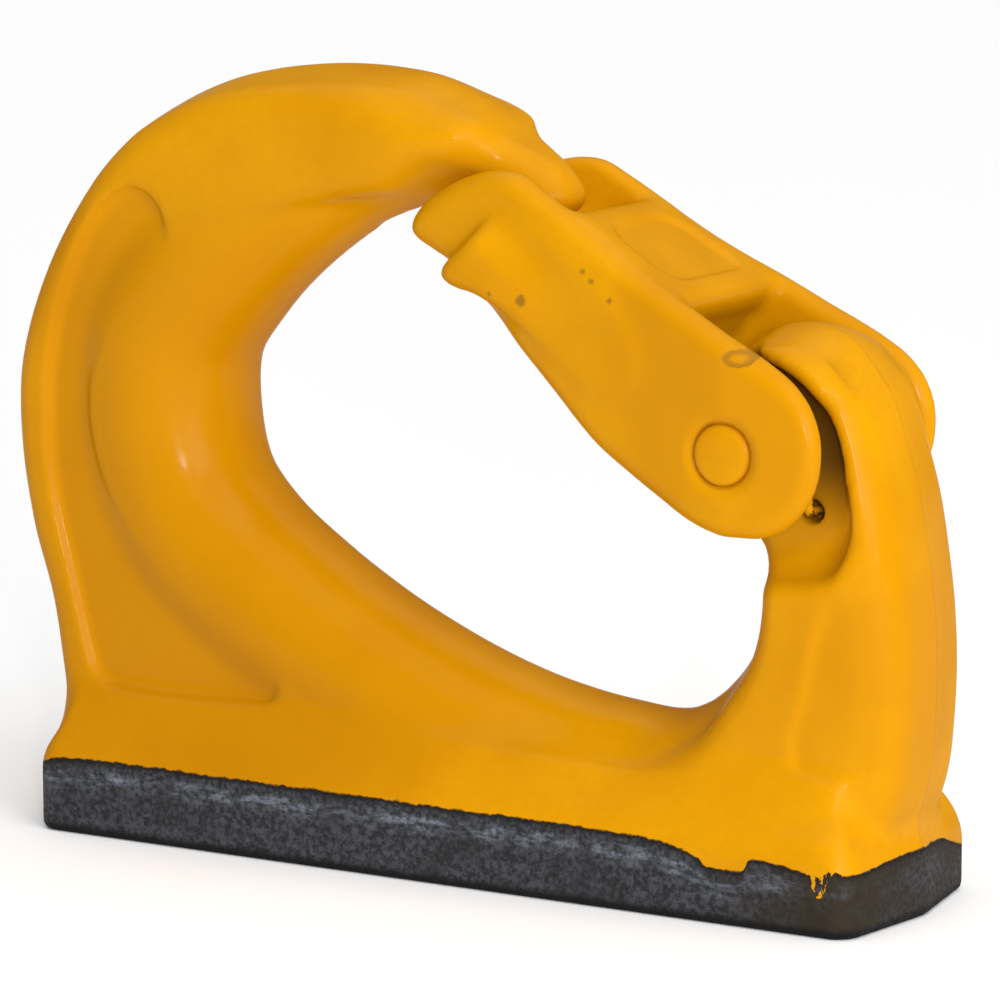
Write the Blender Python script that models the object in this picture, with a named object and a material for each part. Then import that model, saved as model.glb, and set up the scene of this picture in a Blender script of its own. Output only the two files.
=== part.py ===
"""Weld-on lifting hook: a forged hook body on a weld foot, closed by a forged, spring-loaded safety latch.

Frame: metres, +Z up. X runs along the weld foot, with the hinge post at +X and the bowl of the hook at -X.
Y runs across the forging, and y = 0 is its parting plane. The origin is the centre of the foot's underside.
Outlines are (x, z) points in millimetres, joined by smooth curves unless a point is marked CORNER.
"""

import math

import bmesh
import bpy
from mathutils import Matrix, Vector
from mathutils.geometry import interpolate_bezier

MM = 0.001
CORNER = "corner"
GAP = 0.3

# Weld foot
FOOT_LENGTH = 132.0
FOOT_WIDTH = 35.6
FOOT_EDGE_HEIGHT = 11.0
FOOT_CORNER_RADIUS = 6.0
FOOT_END_DRAFT = math.radians(7.2)
SHELF_HEIGHT = 17.0
SHELF_INSET = 5.5

# Forging
PLATE_HALF = 12.0
# How far the side view shrinks on the way out from the parting plane to the flat face: (inset, distance) steps.
DRAFT_STEPS = [(2.6, 9.4), (0.8, 1.8), (1.4, 0.8)]
# No more than this share of a small turn's radius is taken off by the draft.
SHARPEST_SHARE = 0.6
TIP_WEB_HALF = 6.2
HINGE_WEB_HALF = 6.8
PANEL_DEPTH = 0.8

# Hinge
PIN_X = 45.0
PIN_Z = 61.0
PIN_RADIUS = 4.0
PRESS_GAP = 0.02
RUNNING_GAP = 0.1

# Latch
CHEEK_OUTER_AT_PIN = 17.2
CHEEK_INNER_AT_PIN = 12.2
CHEEK_OUTER_AT_TIP = 13.2
CHEEK_INNER_AT_TIP = 8.4
CHEEK_TIP_X = 5.0
CHEEK_EDGE_RADIUS = 1.8

# Torsion springs
WIRE_RADIUS = 0.65
COIL_RADIUS = 5.7
COIL_PITCH = 1.42
COIL_POINTS = 18
LEG_HOLE = (52.4, 52.8)
LEG_HOLE_RADIUS = 1.5
LATCH_LEG_END = (23.6, 64.0)
LATCH_LEG_Y = 8.9

# The whole hook in side view: over the top from the tongue, down the bowl, along the foot and up the hinge post.
HOOK_OUTLINE = [
    (8.0, 95.0), (4.6, 99.8), (-2.2, 103.2), (-11.8, 106.0), (-24.3, 107.3), (-37.2, 105.9),
    (-49.4, 100.4), (-59.4, 91.8), (-67.2, 79.2), (-71.8, 66.0), (-72.6, 54.0), (-71.0, 41.3), (-68.0, 31.0),
    (-66.6, 22.0), (-65.2, 14.0), (-62.6, 8.4), (-57.0, 6.0), (-48.0, 6.0),
    (48.0, 6.0), (56.6, 6.0), (62.4, 8.4), (65.2, 14.0), (67.2, 22.0),
    (68.0, 31.0), (67.8, 40.0), (66.6, 47.5), (64.6, 55.5), (62.2, 63.6), (59.6, 69.8), (56.0, 73.6),
    (50.6, 75.8), (44.0, 75.0), (37.6, 70.4), (34.2, 63.0), (35.0, 55.0), (39.5, 50.2), (43.4, 47.0),
    (44.0, 41.0), (43.0, 34.0), (38.0, 22.0), (24.0, 16.0), (2.5, 18.0), (-13.3, 22.5), (-32.2, 33.1),
    (-46.0, 47.0), (-49.0, 62.0), (-41.5, 77.0), (-30.0, 83.4), (-18.0, 87.0), (-8.0, 88.6), (-1.0, 88.2),
    (5.6, 90.4),
]
TONGUE = [
    (15.0, 90.2), (13.8, 93.0), (6.6, 98.4), (0.0, 101.8), (-8.0, 101.0), (-8.0, 91.0), (0.0, 89.0), (7.0, 88.2),
    (12.4, 87.6),
]
# The load-bearing rim inside the bowl: centre line and radius.
RIM_LINE = [
    (-14.0, 95.0, 8.2), (-22.0, 93.2, 9.6), (-33.0, 87.4, 11.0), (-43.0, 79.8, 12.2), (-50.0, 70.5, 12.5),
    (-51.4, 60.0, 12.5), (-48.6, 47.0, 12.5), (-41.5, 38.0, 12.5), (-31.6, 30.8, 12.5), (-14.0, 20.8, 12.4),
    (3.0, 15.6, 12.2), (24.0, 12.0, 11.8), (37.4, 14.8, 11.8), (48.4, 23.6, 10.8), (53.6, 35.0, 9.2),
]
HINGE_POCKET = [
    (20.0, 84.0, CORNER), (20.0, 44.0, CORNER), (44.0, 44.0), (54.0, 44.6), (59.4, 48.2), (61.2, 54.0),
    (60.0, 59.6), (58.4, 65.0), (55.2, 70.2), (50.6, 73.4), (45.6, 74.4), (41.0, 77.0), (34.0, 84.0, CORNER),
]
TIP_POCKET = [
    (26.0, 80.0, CORNER), (26.0, 104.0, CORNER), (16.0, 101.0), (9.6, 98.4), (3.4, 96.6), (-2.4, 94.2),
    (-6.0, 90.4), (-7.2, 86.0), (-7.6, 78.0, CORNER),
]
BOWL_PANEL = [
    (-52.2, 89.4), (-56.0, 84.6), (-60.0, 76.6), (-63.0, 68.0), (-64.4, 58.0), (-63.6, 47.0), (-60.6, 35.0),
    (-58.2, 25.0), (-56.8, 21.4), (-52.6, 20.2), (-30.0, 19.8), (-27.0, 21.6), (-30.6, 26.6), (-40.0, 33.4),
    (-48.8, 43.8), (-53.4, 52.6), (-55.2, 62.0), (-53.6, 70.0), (-48.6, 78.4), (-44.6, 82.2), (-46.0, 87.4),
]
POST_PANEL = [
    (63.6, 42.4), (60.0, 40.8), (57.0, 33.0), (54.6, 24.0), (56.4, 20.0), (63.4, 20.0), (64.6, 30.0), (65.0, 40.4),
]
CHEEK_OUTLINE = [
    (-3.8, 87.0), (-4.0, 89.6), (-1.8, 91.4), (2.4, 93.4), (7.6, 94.8), (12.4, 94.9), (17.0, 93.0), (23.0, 89.2),
    (29.0, 85.4), (34.5, 82.4), (40.0, 79.2), (46.3, 75.6), (51.0, 72.8), (55.0, 69.6), (57.8, 66.0), (58.8, 61.4),
    (57.6, 56.4), (53.6, 52.2), (47.6, 50.4), (41.1, 51.8), (33.8, 55.4), (28.0, 59.0), (23.0, 62.8),
    (18.6, 67.2), (14.0, 73.2), (10.6, 77.6), (6.0, 80.2), (0.6, 84.0),
]
THUMB_LUG = [
    (8.0, 88.8), (3.8, 86.2), (1.2, 82.8), (2.6, 79.8), (8.4, 78.2), (14.0, 73.6), (20.0, 70.6), (26.0, 72.0),
    (25.0, 76.6), (18.0, 82.6), (12.0, 87.4),
]
LATCH_WEB = [
    (20.2, 90.2), (26.0, 86.4), (34.0, 81.4), (33.0, 76.4), (30.0, 70.0), (26.2, 65.6), (22.4, 66.6),
    (17.0, 72.6), (11.0, 78.6), (6.6, 83.6), (7.4, 86.6), (10.0, 87.0), (13.6, 86.4), (17.0, 88.0),
]


def clear_scene():
    for obj in list(bpy.data.objects):
        bpy.data.objects.remove(obj, do_unlink=True)


def new_collection(name, hidden=False):
    collection = bpy.data.collections.new(name)
    collection.hide_render = hidden
    bpy.context.scene.collection.children.link(collection)
    return collection


def finish_material(name, colour, roughness, metallic):
    material = bpy.data.materials.new(name)
    material.use_nodes = True
    shader = material.node_tree.nodes["Principled BSDF"]
    shader.inputs["Base Color"].default_value = (*colour, 1.0)
    shader.inputs["Roughness"].default_value = roughness
    shader.inputs["Metallic"].default_value = metallic
    return material


def add_object(name, data, collection, material=None):
    obj = bpy.data.objects.new(name, data)
    collection.objects.link(obj)
    if material:
        data.materials.append(material)
    return obj


def mesh_from_curve(curve_object, name, collection):
    """The curve's evaluated shape as a welded mesh object in the same place; the curve is removed."""
    bpy.context.view_layer.update()
    evaluated = curve_object.evaluated_get(bpy.context.evaluated_depsgraph_get())
    mesh = bpy.data.meshes.new_from_object(evaluated)
    mesh.name = name
    shape = bmesh.new()
    shape.from_mesh(mesh)
    bmesh.ops.remove_doubles(shape, verts=shape.verts, dist=1e-6)
    bmesh.ops.recalc_face_normals(shape, faces=shape.faces)
    shape.to_mesh(mesh)
    shape.free()
    obj = add_object(name, mesh, collection)
    obj.matrix_world = curve_object.matrix_world.copy()
    bpy.data.objects.remove(curve_object, do_unlink=True)
    return obj


def plate(name, outline, half_thickness, edge_radius, collection, resolution=3, edge_steps=2):
    """A flat outline in the XZ plane, thickened both ways along Y, with rounded edges."""
    curve = bpy.data.curves.new(name, "CURVE")
    curve.dimensions = "2D"
    curve.fill_mode = "BOTH"
    curve.resolution_u = resolution
    spline = curve.splines.new("BEZIER")
    spline.bezier_points.add(len(outline) - 1)
    for point, (x, z, *kind) in zip(spline.bezier_points, outline):
        point.co = (x * MM, z * MM, 0.0)
        handle = "VECTOR" if CORNER in kind else "AUTO"
        point.handle_left_type = handle
        point.handle_right_type = handle
    spline.use_cyclic_u = True
    curve.extrude = (half_thickness - edge_radius) * MM
    curve.bevel_depth = edge_radius * MM
    curve.bevel_resolution = edge_steps
    curve.offset = -edge_radius * MM
    drawn = add_object(name + "_outline", curve, collection)
    drawn.matrix_world = Matrix.Rotation(math.pi / 2, 4, "X")
    return mesh_from_curve(drawn, name, collection)


def smooth_outline(outline, resolution):
    """Points along a closed smooth curve through the outline's points, with sharp turns at its corners."""
    points = []
    count = len(outline)
    places = [Vector(point[:2]) for point in outline]
    for i, start in enumerate(places):
        end, after = places[(i + 1) % count], places[(i + 2) % count]
        straight = end - start
        reach = straight.length / 3
        leave = straight if CORNER in outline[i] else end - places[i - 1]
        arrive = straight if CORNER in outline[(i + 1) % count] else after - start
        leave, arrive = leave.normalized() * reach, arrive.normalized() * reach
        points += interpolate_bezier(start, start + leave, end - arrive, end, resolution + 1)[:-1]
    return [Vector(point[:2]) for point in points]


def shrunk(points, inset):
    """The closed anticlockwise outline moved in along its normals, by less where it turns in a small radius."""
    count = len(points)
    reaches = []
    for i, point in enumerate(points):
        back, on = point - points[i - 2], points[(i + 2) % count] - point
        turn = back.angle_signed(on)
        radius = (back.length + on.length) / 2 / -turn if turn < -1e-3 else math.inf
        reaches.append(min(inset, SHARPEST_SHARE * radius))
    for _ in range(4):
        reaches = [
            min(reach, (reaches[i - 1] + reach + reaches[(i + 1) % count]) / 3) for i, reach in enumerate(reaches)
        ]
    moved = []
    for i, point in enumerate(points):
        along = (points[(i + 1) % count] - points[i - 1]).normalized()
        moved.append(point + Vector((-along.y, along.x)) * reaches[i])
    return moved


def drafted_plate(name, outline, steps, collection, resolution=3):
    """A loft of the outline from the parting plane out to a flat face on each side, in drafted and rounded steps."""
    parting = smooth_outline(outline, resolution)
    levels = [(0.0, 0.0)]
    for inset, distance in steps:
        levels.append((levels[-1][0] + inset, levels[-1][1] + distance))
    levels = [(inset, -y) for inset, y in reversed(levels)] + levels[1:]
    mesh = bpy.data.meshes.new(name)
    shape = bmesh.new()
    loops = []
    for inset, y in levels:
        loops.append([shape.verts.new(Vector((p.x, y, p.y)) * MM) for p in shrunk(parting, inset)])
    for near, far in zip(loops, loops[1:]):
        for i in range(len(near)):
            shape.faces.new((near[i - 1], near[i], far[i], far[i - 1]))
    for loop in (loops[0], loops[-1]):
        shape.faces.new(loop)
    bmesh.ops.recalc_face_normals(shape, faces=shape.faces)
    shape.to_mesh(mesh)
    shape.free()
    return add_object(name, mesh, collection)


def tube(name, line, collection, smooth=True, sides=4, resolution=4):
    """A round bar along (x, y, z, radius) points in millimetres."""
    curve = bpy.data.curves.new(name, "CURVE")
    curve.dimensions = "3D"
    curve.bevel_depth = MM
    curve.bevel_resolution = sides
    curve.use_fill_caps = True
    curve.resolution_u = resolution
    spline = curve.splines.new("BEZIER" if smooth else "POLY")
    points = spline.bezier_points if smooth else spline.points
    points.add(len(line) - 1)
    for point, values in zip(points, line):
        place = Vector(values[:3]) * MM
        point.co = place if smooth else (*place, 1.0)
        point.radius = values[3]
        if smooth:
            point.handle_left_type = "AUTO"
            point.handle_right_type = "AUTO"
    drawn = add_object(name + "_line", curve, collection)
    return mesh_from_curve(drawn, name, collection)


def cylinder_along_y(name, x, z, radius, y_from, y_to, collection, segments=32):
    """A round bar parallel to Y through the (x, z) place, from y_from to y_to."""
    mesh = bpy.data.meshes.new(name)
    shape = bmesh.new()
    bmesh.ops.create_cone(
        shape, cap_ends=True, segments=segments, radius1=radius * MM, radius2=radius * MM,
        depth=abs(y_to - y_from) * MM,
    )
    shape.to_mesh(mesh)
    shape.free()
    obj = add_object(name, mesh, collection)
    turn = Matrix.Rotation(math.pi / 2, 4, "X")
    obj.matrix_world = Matrix.Translation(Vector((x, (y_from + y_to) / 2, z)) * MM) @ turn
    return obj


def combine(target, tool, operation):
    """Joins the tool to the target, or cuts it away, and hides the tool."""
    modifier = target.modifiers.new(tool.name, "BOOLEAN")
    modifier.operation = operation
    modifier.solver = "EXACT"
    modifier.object = tool
    tool.hide_render = True
    tool.display_type = "WIRE"


def move_points(obj, change):
    """Moves each vertex of a mesh to change(position), in world millimetres."""
    to_world = obj.matrix_world.copy()
    for vertex in obj.data.vertices:
        vertex.co = change((to_world @ vertex.co) / MM) * MM
    obj.matrix_world = Matrix.Identity(4)


def put_origin_on_hinge(obj):
    """Moves the object's origin to the hinge axis and leaves its shape in place."""
    pivot = Vector((PIN_X, 0.0, PIN_Z)) * MM
    obj.data.transform(Matrix.Translation(-pivot))
    obj.location = pivot


def make_foot(collection, material):
    """The weld foot: a drafted bar with rounded corners, and a sloping shelf that leads up to the forging."""
    half_length = FOOT_LENGTH / 2
    half_width = FOOT_WIDTH / 2
    side_length = half_length - half_width * math.tan(FOOT_END_DRAFT)
    corners = [(side_length, -half_width), (half_length, 0.0), (side_length, half_width)]
    corners += [(-x, -y) for x, y in corners]
    mesh = bpy.data.meshes.new("hook_body")
    shape = bmesh.new()
    base = shape.faces.new([shape.verts.new(Vector((x, y, 0.0)) * MM) for x, y in corners])
    raised = bmesh.ops.extrude_face_region(shape, geom=[base])["geom"]
    top = [item for item in raised if isinstance(item, bmesh.types.BMVert)]
    bmesh.ops.translate(shape, verts=top, vec=(0.0, 0.0, FOOT_EDGE_HEIGHT * MM))
    bmesh.ops.recalc_face_normals(shape, faces=shape.faces)
    upright = [
        edge for edge in shape.edges
        if abs(edge.verts[0].co.z - edge.verts[1].co.z) > MM and abs(edge.verts[0].co.y) > MM
    ]
    bmesh.ops.bevel(
        shape, geom=upright, offset=FOOT_CORNER_RADIUS * MM, segments=5, profile=0.5,
        affect="EDGES", offset_type="OFFSET",
    )
    lid = max(shape.faces, key=lambda face: face.calc_center_median().z)
    bmesh.ops.inset_region(
        shape, faces=[lid], thickness=SHELF_INSET * MM, depth=(SHELF_HEIGHT - FOOT_EDGE_HEIGHT) * MM,
        use_even_offset=True,
    )
    bmesh.ops.recalc_face_normals(shape, faces=shape.faces)
    shape.to_mesh(mesh)
    shape.free()
    return add_object("hook_body", mesh, collection, material)


def make_hook_body(parts, helpers, material):
    body = make_foot(parts, material)
    combine(body, drafted_plate("limb", HOOK_OUTLINE, DRAFT_STEPS, helpers), "UNION")
    combine(body, plate("tongue", TONGUE, TIP_WEB_HALF, 2.0, helpers), "UNION")
    rim = tube("rim", [(x, 0.0, z, r) for x, z, r in RIM_LINE], helpers)
    combine(body, rim, "UNION")
    for side in (-1, 1):
        face = "front" if side < 0 else "rear"
        for name, outline, web in (
            ("hinge_pocket", HINGE_POCKET, HINGE_WEB_HALF), ("tip_pocket", TIP_POCKET, TIP_WEB_HALF),
        ):
            cutter = plate(f"{name}_{face}", outline, 10.0, 1.5, helpers)
            cutter.location.y = side * (web + 10.0) * MM
            combine(body, cutter, "DIFFERENCE")
        for name, outline in (("bowl_panel", BOWL_PANEL), ("post_panel", POST_PANEL)):
            cutter = plate(f"{name}_{face}", outline, 3.0, 0.6, helpers, edge_steps=0)
            cutter.location.y = side * (PLATE_HALF - PANEL_DEPTH + 3.0) * MM
            combine(body, cutter, "DIFFERENCE")
        hole = cylinder_along_y(
            f"leg_hole_{face}", *LEG_HOLE, LEG_HOLE_RADIUS, side * (HINGE_WEB_HALF - 3.5),
            side * (HINGE_WEB_HALF + 4.0), helpers, segments=16,
        )
        combine(body, hole, "DIFFERENCE")
    bore = cylinder_along_y("pin_bore", PIN_X, PIN_Z, PIN_RADIUS + RUNNING_GAP, -20.0, 20.0, helpers)
    combine(body, bore, "DIFFERENCE")


def taper(point):
    """Narrows the latch towards its tip: the gap between the cheeks, and the cheeks, each at its own rate."""
    along = (PIN_X - point.x) / (PIN_X - CHEEK_TIP_X)
    inner = CHEEK_INNER_AT_PIN + (CHEEK_INNER_AT_TIP - CHEEK_INNER_AT_PIN) * along
    outer = CHEEK_OUTER_AT_PIN + (CHEEK_OUTER_AT_TIP - CHEEK_OUTER_AT_PIN) * along
    depth = abs(point.y)
    if depth <= CHEEK_INNER_AT_PIN:
        depth *= inner / CHEEK_INNER_AT_PIN
    else:
        share = (depth - CHEEK_INNER_AT_PIN) / (CHEEK_OUTER_AT_PIN - CHEEK_INNER_AT_PIN)
        depth = inner + (outer - inner) * share
    return Vector((point.x, math.copysign(depth, point.y), point.z))


def tapered_plate(name, outline, half_thickness, edge_radius, middle, collection, **detail):
    piece = plate(name, outline, half_thickness, edge_radius, collection, **detail)
    piece.location.y = middle * MM
    bpy.context.view_layer.update()
    move_points(piece, taper)
    return piece


def make_latch(parts, helpers, material):
    latch = tapered_plate("latch", LATCH_WEB, CHEEK_INNER_AT_PIN + 1.5, 0.5, 0.0, parts, edge_steps=0)
    latch.data.materials.append(material)
    half = (CHEEK_OUTER_AT_PIN - CHEEK_INNER_AT_PIN) / 2
    for side in (-1, 1):
        face = "front" if side < 0 else "rear"
        middle = side * (CHEEK_INNER_AT_PIN + half)
        cheek = tapered_plate(f"cheek_{face}", CHEEK_OUTLINE, half, CHEEK_EDGE_RADIUS, middle, helpers)
        combine(latch, cheek, "UNION")
        lug = tapered_plate(f"lug_{face}", THUMB_LUG, 2.6, 1.2, side * (CHEEK_OUTER_AT_PIN - 0.8), helpers)
        combine(latch, lug, "UNION")
    bore = cylinder_along_y("latch_bore", PIN_X, PIN_Z, PIN_RADIUS + PRESS_GAP, -25.0, 25.0, helpers)
    combine(latch, bore, "DIFFERENCE")
    put_origin_on_hinge(latch)


def make_pin(parts, helpers, material):
    length = CHEEK_OUTER_AT_PIN - 0.2
    pin = cylinder_along_y("hinge_pin", PIN_X, PIN_Z, PIN_RADIUS, -length, length, parts)
    pin.data.materials.append(material)


def tangent_angle(place, turn):
    """The angle round the pin at which a straight wire from this (x, z) place meets the coil's mean circle."""
    away = Vector((place[0] - PIN_X, place[1] - PIN_Z))
    return math.atan2(away.y, away.x) + turn * math.acos(COIL_RADIUS / away.length)


def make_spring(name, side, parts, material):
    """A torsion spring round the pin: one leg bends into the post's drilled hole, the other lies under the latch web."""
    first = tangent_angle(LEG_HOLE, 1)
    last = tangent_angle(LATCH_LEG_END, -1) + 4 * math.pi
    inner_y = HINGE_WEB_HALF + GAP + WIRE_RADIUS
    line = [
        (LEG_HOLE[0], HINGE_WEB_HALF - 2.6, LEG_HOLE[1]),
        (LEG_HOLE[0], inner_y - 0.6, LEG_HOLE[1]),
        (LEG_HOLE[0], inner_y, LEG_HOLE[1] + 0.7),
    ]
    steps = round((last - first) / (2 * math.pi) * COIL_POINTS)
    for i in range(steps + 1):
        angle = first + (last - first) * i / steps
        outward = COIL_PITCH * (angle - first) / (2 * math.pi)
        line.append((
            PIN_X + COIL_RADIUS * math.cos(angle), inner_y + outward, PIN_Z + COIL_RADIUS * math.sin(angle),
        ))
    leave = Vector(line[-1])
    end = Vector((LATCH_LEG_END[0], LATCH_LEG_Y, LATCH_LEG_END[1]))
    clear = leave.lerp(Vector((end.x, leave.y, end.z)), 0.1)
    line += [tuple(clear), tuple(end)]
    wire = [(x, side * y, z, WIRE_RADIUS) for x, y, z in line]
    spring = tube(name, wire, parts, smooth=False, sides=2)
    spring.data.materials.append(material)
    put_origin_on_hinge(spring)


def main():
    clear_scene()
    parts = new_collection("weld_on_hook")
    helpers = new_collection("cutters", hidden=True)
    paint = finish_material("hook_paint", (0.80, 0.36, 0.01), 0.28, 0.0)
    latch_paint = finish_material("latch_paint", (0.80, 0.36, 0.01), 0.28, 0.0)
    spring_paint = finish_material("spring_paint", (0.78, 0.36, 0.02), 0.35, 0.0)
    pin_paint = finish_material("pin_paint", (0.80, 0.36, 0.01), 0.30, 0.0)
    make_hook_body(parts, helpers, paint)
    make_latch(parts, helpers, latch_paint)
    make_pin(parts, helpers, pin_paint)
    make_spring("latch_spring_front", -1, parts, spring_paint)
    make_spring("latch_spring_rear", 1, parts, spring_paint)


main()
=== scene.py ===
"""Visual model of a weld-on lifting hook with a forged safety latch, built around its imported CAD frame.

Shape code works in millimetres: x along the weld foot, z up, and y across the forging from its parting plane.
Forged shapes are signed distance fields, negative inside, so that every edge and corner gets a forging's
radius.
"""

import math

import bmesh
import bpy
import numpy as np
import openvdb
from mathutils import Matrix, Vector


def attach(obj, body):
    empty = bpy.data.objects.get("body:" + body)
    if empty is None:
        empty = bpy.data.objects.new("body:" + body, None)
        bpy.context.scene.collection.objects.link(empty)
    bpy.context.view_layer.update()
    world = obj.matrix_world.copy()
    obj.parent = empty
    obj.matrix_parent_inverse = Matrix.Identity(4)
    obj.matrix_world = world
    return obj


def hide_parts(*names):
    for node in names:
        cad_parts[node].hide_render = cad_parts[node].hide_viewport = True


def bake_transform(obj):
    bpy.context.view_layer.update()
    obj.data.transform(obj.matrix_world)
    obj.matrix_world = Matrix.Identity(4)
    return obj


MM = 0.001
HOOK_STEP, LATCH_STEP = 0.63, 0.5
# How far from a surface a field is taken to be where it isn't sampled.
FAR = 8.0
# A round of smoothing draws each point half way to its neighbours' mean, then pushes it back slightly more.
SMOOTHING = (0.5, -0.52) * 3

# The foot: a low block with slightly pointed ends and a sloping shelf round the hook.
FOOT_HALF_LENGTH, FOOT_HALF_WIDTH = 65.8, 17.8
FOOT_MIDDLE = 0.35
FOOT_CORNER_RADIUS = 3.8
FOOT_END_DRAFT = math.radians(7.2)
FOOT_EDGE_HEIGHT, FOOT_EDGE_DROP = 11.0, 1.8
SHELF_HEIGHT, SHELF_INSET, SHELF_RADIUS = 17.0, 5.5, 1.6
FOOT_FILLET, FOOT_FILLET_LOSS = 5.0, 2.4
UNDERSIDE_RADIUS = 0.9

# The hook's flanks lean in by the draft, which is less on the hinge post and on the beak over the latch.
DRAFT, POST_DRAFT_LOSS, BEAK_DRAFT_LOSS = 0.29, 0.15, 0.2
PARTING_RADIUS, PARTING_OFFSET = 2.5, 0.8
# Its faces are slightly crowned, and they close in towards the beak.
FACE_HALF, FACE_CROWN, BEAK_TAPER = 11.8, 0.35, 4.8
FACE_RADIUS, BEAK_FACE_RADIUS_GAIN = 2.6, 2.4
# The post's edges have a bevel: its direction outwards and across, and where it starts.
BEVEL_OUT, BEVEL_ACROSS = 0.597, 0.802
BEVEL_INSET, BEVEL_DEPTH, BEVEL_RADIUS, BEVEL_KEPT_OFF = 0.8, 8.5, 2.0, 8.0
RIM_BLEND = 1.1
VALLEY_WIDTH = 2.9
# A low bead follows the valley, spread outwards from the bowl's middle; its height is a share of the depth.
BOWL_MIDDLE, BEAD_SPREAD, BEAD_HEIGHT, BEAD_WIDTH = (-2.0, 62.0), 1.045, 0.45, 0.8
BOWL_PANEL_DEPTH, POST_PANEL_DEPTH = 1.4, 0.6
TONGUE_HALF, TIP_POCKET_RADIUS, TIP_POCKET_LIP = 6.2, 4.0, 5.6
HINGE_WEB_HALF, HINGE_POCKET_LIP = 6.8, 2.0

# The hinge: its pin, the post's bore, and the springs with the drilled holes for their legs.
PIN_X, PIN_Z = 45.0, 61.0
PIN_RADIUS, BORE_RADIUS = 3.95, 4.1
PIN_PROFILE = [
    (0.0, 18.2), (1.4, 18.17), (2.5, 18.1), (3.1, 18.02), (3.5, 17.9), (3.8, 17.74),
    (PIN_RADIUS + 0.07, 17.5),
]
PIN_STEPS = 72
LEG_HOLE, LEG_HOLE_RADIUS, LEG_HOLE_DEPTH = (52.4, 52.8), 1.5, 4.0
WIRE_RADIUS, WIRE_SIDES = 0.65, 14
COIL_RADIUS, COIL_PITCH, COIL_TURNS, COIL_POINTS = 5.7, 1.42, 2, 120
COIL_INNER_Y = HINGE_WEB_HALF + 0.3 + WIRE_RADIUS
LATCH_LEG_END, LATCH_LEG_Y = (23.6, 64.0), 8.9
# A wire's domed end: how far out each ring is and how wide, in wire radii.
WIRE_END = [(0.9, 0.35), (0.62, 0.78)]

# The latch's cheeks splay towards the hinge: half widths at the pin, and how much less they are 40 mm along.
CHEEK_INNER, CHEEK_INNER_LOSS, CHEEK_OUTER, CHEEK_OUTER_LOSS = 13.5, 5.0, 18.3, 5.4
CHEEK_RADIUS = 2.7
LUG_HEIGHT, LUG_RADIUS, LUG_BLEND = 2.9, 1.8, 1.6
WEB_RADIUS, WEB_BLEND = 2.5, 2.2
TRAY_DEPTH, TRAY_HALF_LENGTH, TRAY_RADIUS = 0.6, 6.6, 4.0
PIN_RING_RADIUS, PIN_RING_LIP = 0.85, 0.7

# The whole hook in side view: over the top from the tongue, down the back, along the foot, up the hinge post
# and back round the inside of the bowl.
HOOK_OUTLINE = [
    (14.4, 89.8), (14.6, 91.0), (13.9, 92.5), (12.5, 94.2), (10.7, 95.7), (8.4, 97.1), (6.1, 98.4),
    (4.8, 99.5), (3.8, 100.8), (2.1, 102.2), (-0.9, 103.9), (-7.4, 106.4), (-13.4, 107.3), (-19.8, 107.6),
    (-26.2, 107.3), (-32.6, 106.5), (-39.2, 105.0), (-45.8, 102.4), (-52.4, 98.5), (-59.5, 91.4),
    (-67.1, 79.5), (-72.0, 66.0), (-72.55, 54.0), (-70.6, 41.3), (-67.5, 31.0), (-66.0, 22.0),
    (-64.8, 14.0), (-62.6, 8.4), (-57.0, 6.0), (-48.0, 6.0), (48.0, 6.0), (56.6, 6.0), (62.0, 8.4),
    (65.0, 13.0), (66.6, 18.0), (67.3, 24.0), (67.6, 32.0), (67.2, 40.0), (66.2, 47.5), (64.8, 55.0),
    (62.7, 62.0), (60.8, 67.4), (58.2, 71.4), (55.8, 74.3), (52.5, 76.2), (48.7, 76.8), (44.0, 75.8),
    (37.6, 70.4), (34.2, 63.0), (35.0, 55.0), (39.5, 50.2), (43.7, 46.7), (44.4, 41.0), (43.2, 35.0),
    (39.8, 29.2), (35.0, 23.4), (26.0, 18.0), (14.0, 17.0), (2.5, 18.6), (-13.3, 22.5), (-32.2, 33.1),
    (-46.0, 47.0), (-49.0, 62.0), (-41.5, 77.0), (-30.0, 83.4), (-18.0, 87.0), (-8.0, 88.6), (0.0, 89.0),
    (6.6, 88.4), (11.3, 87.9), (13.4, 88.5),
]
# The load-bearing rim inside the bowl: centre line and radius.
RIM_LINE = [
    (-14.0, 95.0, 7.7), (-22.0, 93.2, 9.5), (-33.0, 87.4, 11.0), (-43.0, 79.8, 12.4), (-50.0, 70.5, 12.7),
    (-51.4, 60.0, 12.7), (-48.6, 47.0, 12.6), (-41.5, 38.0, 12.6), (-31.6, 30.8, 12.5), (-21.2, 24.9, 12.3),
    (-12.4, 20.8, 12.15), (-3.5, 17.4, 12.0), (5.5, 14.6, 12.0), (14.0, 12.8, 12.0), (21.3, 12.2, 11.7),
    (28.6, 12.2, 11.25), (34.6, 13.1, 11.2), (39.8, 15.2, 11.3), (44.2, 18.6, 11.0), (47.6, 22.0, 11.0),
    (50.2, 26.0, 10.6), (52.0, 30.2, 10.2), (53.1, 35.6, 9.7), (53.8, 42.0, 9.2),
]
# The groove between that rim and the web: centre line and depth.
VALLEY_LINE = [
    (-27.0, 87.6, 0.0), (-33.0, 84.2, 0.5), (-39.0, 79.8, 1.1), (-44.6, 74.2, 1.6), (-48.6, 68.2, 1.9),
    (-50.7, 60.4, 2.0), (-50.0, 53.5, 2.0), (-45.9, 46.2, 2.0), (-39.4, 39.8, 1.9), (-29.6, 33.0, 1.8),
    (-18.4, 27.9, 1.6), (-7.2, 24.2, 1.4), (4.0, 21.8, 1.1), (16.0, 20.2, 0.7), (28.0, 19.4, 0.0),
]
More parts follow.
